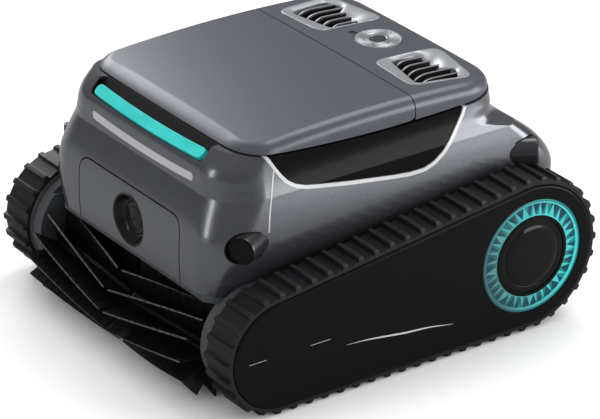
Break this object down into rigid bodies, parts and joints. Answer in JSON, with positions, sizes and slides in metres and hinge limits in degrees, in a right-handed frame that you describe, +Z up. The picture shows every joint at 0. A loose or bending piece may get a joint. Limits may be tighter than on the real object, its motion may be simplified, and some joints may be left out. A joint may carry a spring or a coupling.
{
  "type": "pool cleaner",
  "caption": "Cordless tracked pool-cleaning robot with a hinged lid over a lift-out filter basket, split front scrubbing brush, top water outlets and lit side rings.",
  "frame": {"origin": "on the floor, under the middle of the footprint", "axes": "+X to the cleaner's own left, front faces -Y, +Z up"},
  "size_m": [0.42, 0.4666, 0.262],
  "materials": {
    "body_metallic": "metallic painted plastic, glossy",
    "lid_satin": "satin painted plastic, blue-grey",
    "cover_gloss": "piano-black gloss",
    "dark_gloss": "dark gloss",
    "chassis_plastic": "dark grey moulded, fine texture",
    "inner_plastic": "moulded, matte",
    "louvre_plastic": "moulded, satin edges",
    "gear_plastic": "natural acetal, dyed grey",
    "filter_mesh": "fine woven mesh",
    "track_rubber": "matte rubber",
    "brush_rubber": "satin rubber",
    "black_rubber": "satin rubber",
    "seal_rubber": "soft matte rubber",
    "silver_trim": "satin metallised trim",
    "steel": "turned stainless steel",
    "motor_metal": "potted motor can",
    "light_lens": "translucent lens over a cyan light",
    "smoked_glass": "dark smoked clear plastic"
  },
  "bodies": {
    "hull": {"chassis_base": "chassis_plastic", "upper_shell": "body_metallic", "front_panel": "body_metallic", "rear_cover": "lid_satin", "hinge_pin": "steel", "catch_plates": "steel", "led_housing": "dark_gloss", "led_diffuser": "light_lens", "led_trim": "silver_trim", "sensor_bezel": "dark_gloss", "sensor_lens": "smoked_glass", "window_trims": "silver_trim", "corner_bumpers": "black_rubber", "outlet_louvres": "louvre_plastic", "control_ring": "silver_trim", "bay_seal": "seal_rubber", "battery_pack": "inner_plastic", "control_box": "inner_plastic", "charge_port": "dark_gloss", "stub_axles": "steel", "screws": "steel", "side_window_left": "smoked_glass", "side_window_right": "smoked_glass", "outlet_bezel_left": "silver_trim", "outlet_bezel_right": "silver_trim", "pump_motor_left": "motor_metal", "pump_motor_right": "motor_metal", "drive_motor_left": "motor_metal", "drive_motor_right": "motor_metal", "track_belt_left": "track_rubber", "track_belt_right": "track_rubber", "track_frame_left": "chassis_plastic", "track_frame_right": "chassis_plastic", "side_cover_left": "cover_gloss", "side_cover_right": "cover_gloss", "light_ring_left": "light_lens", "light_ring_right": "light_lens", "hub_cap_left": "cover_gloss", "hub_cap_right": "cover_gloss"},
    "lid": {"lid": "lid_satin", "lid_magnets": "steel"},
    "basket": {"filter_basket": "inner_plastic", "filter_screen": "filter_mesh", "basket_handle": "inner_plastic"},
    "flap": {"intake_flap": "seal_rubber"},
    "button": {"power_button": "dark_gloss"},
    "drive_wheel_left": {"drive_wheel_left": "gear_plastic"},
    "idler_left": {"idler_wheel_left": "gear_plastic"},
    "roller_left": {"guide_roller_left": "gear_plastic"},
    "pinion_left": {"motor_pinion_left": "gear_plastic"},
    "brush_left": {"brush_left": "brush_rubber", "brush_shaft_left": "steel"},
    "impeller_left": {"impeller_left": "inner_plastic"},
    "drive_wheel_right": {"drive_wheel_right": "gear_plastic"},
    "idler_right": {"idler_wheel_right": "gear_plastic"},
    "roller_right": {"guide_roller_right": "gear_plastic"},
    "pinion_right": {"motor_pinion_right": "gear_plastic"},
    "brush_right": {"brush_right": "brush_rubber", "brush_shaft_right": "steel"},
    "impeller_right": {"impeller_right": "inner_plastic"}
  },
  "joints": [
    {"name": "lid_hinge", "type": "hinge", "parent": "hull", "child": "lid", "pos_m": [0, 0.0466, 0.259], "axis": [-1, 0, 0], "range_deg": [0, 95]},
    {"name": "basket_lift", "type": "slide", "parent": "hull", "child": "basket", "axis": [0, 0, 1], "range_m": [0, 0.0915]},
    {"name": "flap_hinge", "type": "hinge", "parent": "basket", "child": "flap", "pos_m": [0, -0.112, 0.0675], "axis": [1, 0, 0], "range_deg": [0, 70]},
    {"name": "button_press", "type": "slide", "parent": "hull", "child": "button", "axis": [0, 0, -1], "range_m": [0, 0.0012], "stiffness_N_per_m": 500},
    {"name": "drive_spin_left", "type": "hinge", "parent": "hull", "child": "drive_wheel_left", "pos_m": [0.184, 0.1485, 0.0848], "axis": [1, 0, 0], "continuous": true},
    {"name": "idler_spin_left", "type": "hinge", "parent": "hull", "child": "idler_left", "pos_m": [0.184, -0.1565, 0.0652], "axis": [1, 0, 0], "continuous": true},
    {"name": "roller_spin_left", "type": "hinge", "parent": "hull", "child": "roller_left", "pos_m": [0.184, -0.014, 0.0243], "axis": [1, 0, 0], "continuous": true},
    {"name": "pinion_spin_left", "type": "hinge", "parent": "hull", "child": "pinion_left", "pos_m": [0.174, 0.1185, 0.0848], "axis": [1, 0, 0], "continuous": true},
    {"name": "brush_spin_left", "type": "hinge", "parent": "hull", "child": "brush_left", "pos_m": [0.073, -0.1868, 0.04768], "axis": [1, 0, 0], "continuous": true},
    {"name": "impeller_spin_left", "type": "hinge", "parent": "hull", "child": "impeller_left", "pos_m": [0.084, 0.105, 0.18], "axis": [0, 0, 1], "continuous": true},
    {"name": "drive_spin_right", "type": "hinge", "parent": "hull", "child": "drive_wheel_right", "pos_m": [-0.184, 0.1485, 0.0848], "axis": [1, 0, 0], "continuous": true},
    {"name": "idler_spin_right", "type": "hinge", "parent": "hull", "child": "idler_right", "pos_m": [-0.184, -0.1565, 0.0652], "axis": [1, 0, 0], "continuous": true},
    {"name": "roller_spin_right", "type": "hinge", "parent": "hull", "child": "roller_right", "pos_m": [-0.184, -0.014, 0.0243], "axis": [1, 0, 0], "continuous": true},
    {"name": "pinion_spin_right", "type": "hinge", "parent": "hull", "child": "pinion_right", "pos_m": [-0.174, 0.1185, 0.0848], "axis": [1, 0, 0], "continuous": true},
    {"name": "brush_spin_right", "type": "hinge", "parent": "hull", "child": "brush_right", "pos_m": [-0.073, -0.1868, 0.04768], "axis": [1, 0, 0], "continuous": true},
    {"name": "impeller_spin_right", "type": "hinge", "parent": "hull", "child": "impeller_right", "pos_m": [-0.084, 0.105, 0.18], "axis": [0, 0, 1], "continuous": true}
  ],
  "couplings": [
    {"joint": "basket_lift", "follows": "lid_hinge", "m_per_rad": 0.055},
    {"joint": "idler_spin_left", "follows": "drive_spin_left", "ratio": 1.3445},
    {"joint": "roller_spin_left", "follows": "drive_spin_left", "ratio": 4.7812},
    {"joint": "pinion_spin_left", "follows": "drive_spin_left", "ratio": 4},
    {"joint": "brush_spin_left", "follows": "drive_spin_left", "ratio": 6.0501},
    {"joint": "idler_spin_right", "follows": "drive_spin_right", "ratio": 1.3445},
    {"joint": "roller_spin_right", "follows": "drive_spin_right", "ratio": 4.7812},
    {"joint": "pinion_spin_right", "follows": "drive_spin_right", "ratio": 4},
    {"joint": "brush_spin_right", "follows": "drive_spin_right", "ratio": 6.0501}
  ]
}
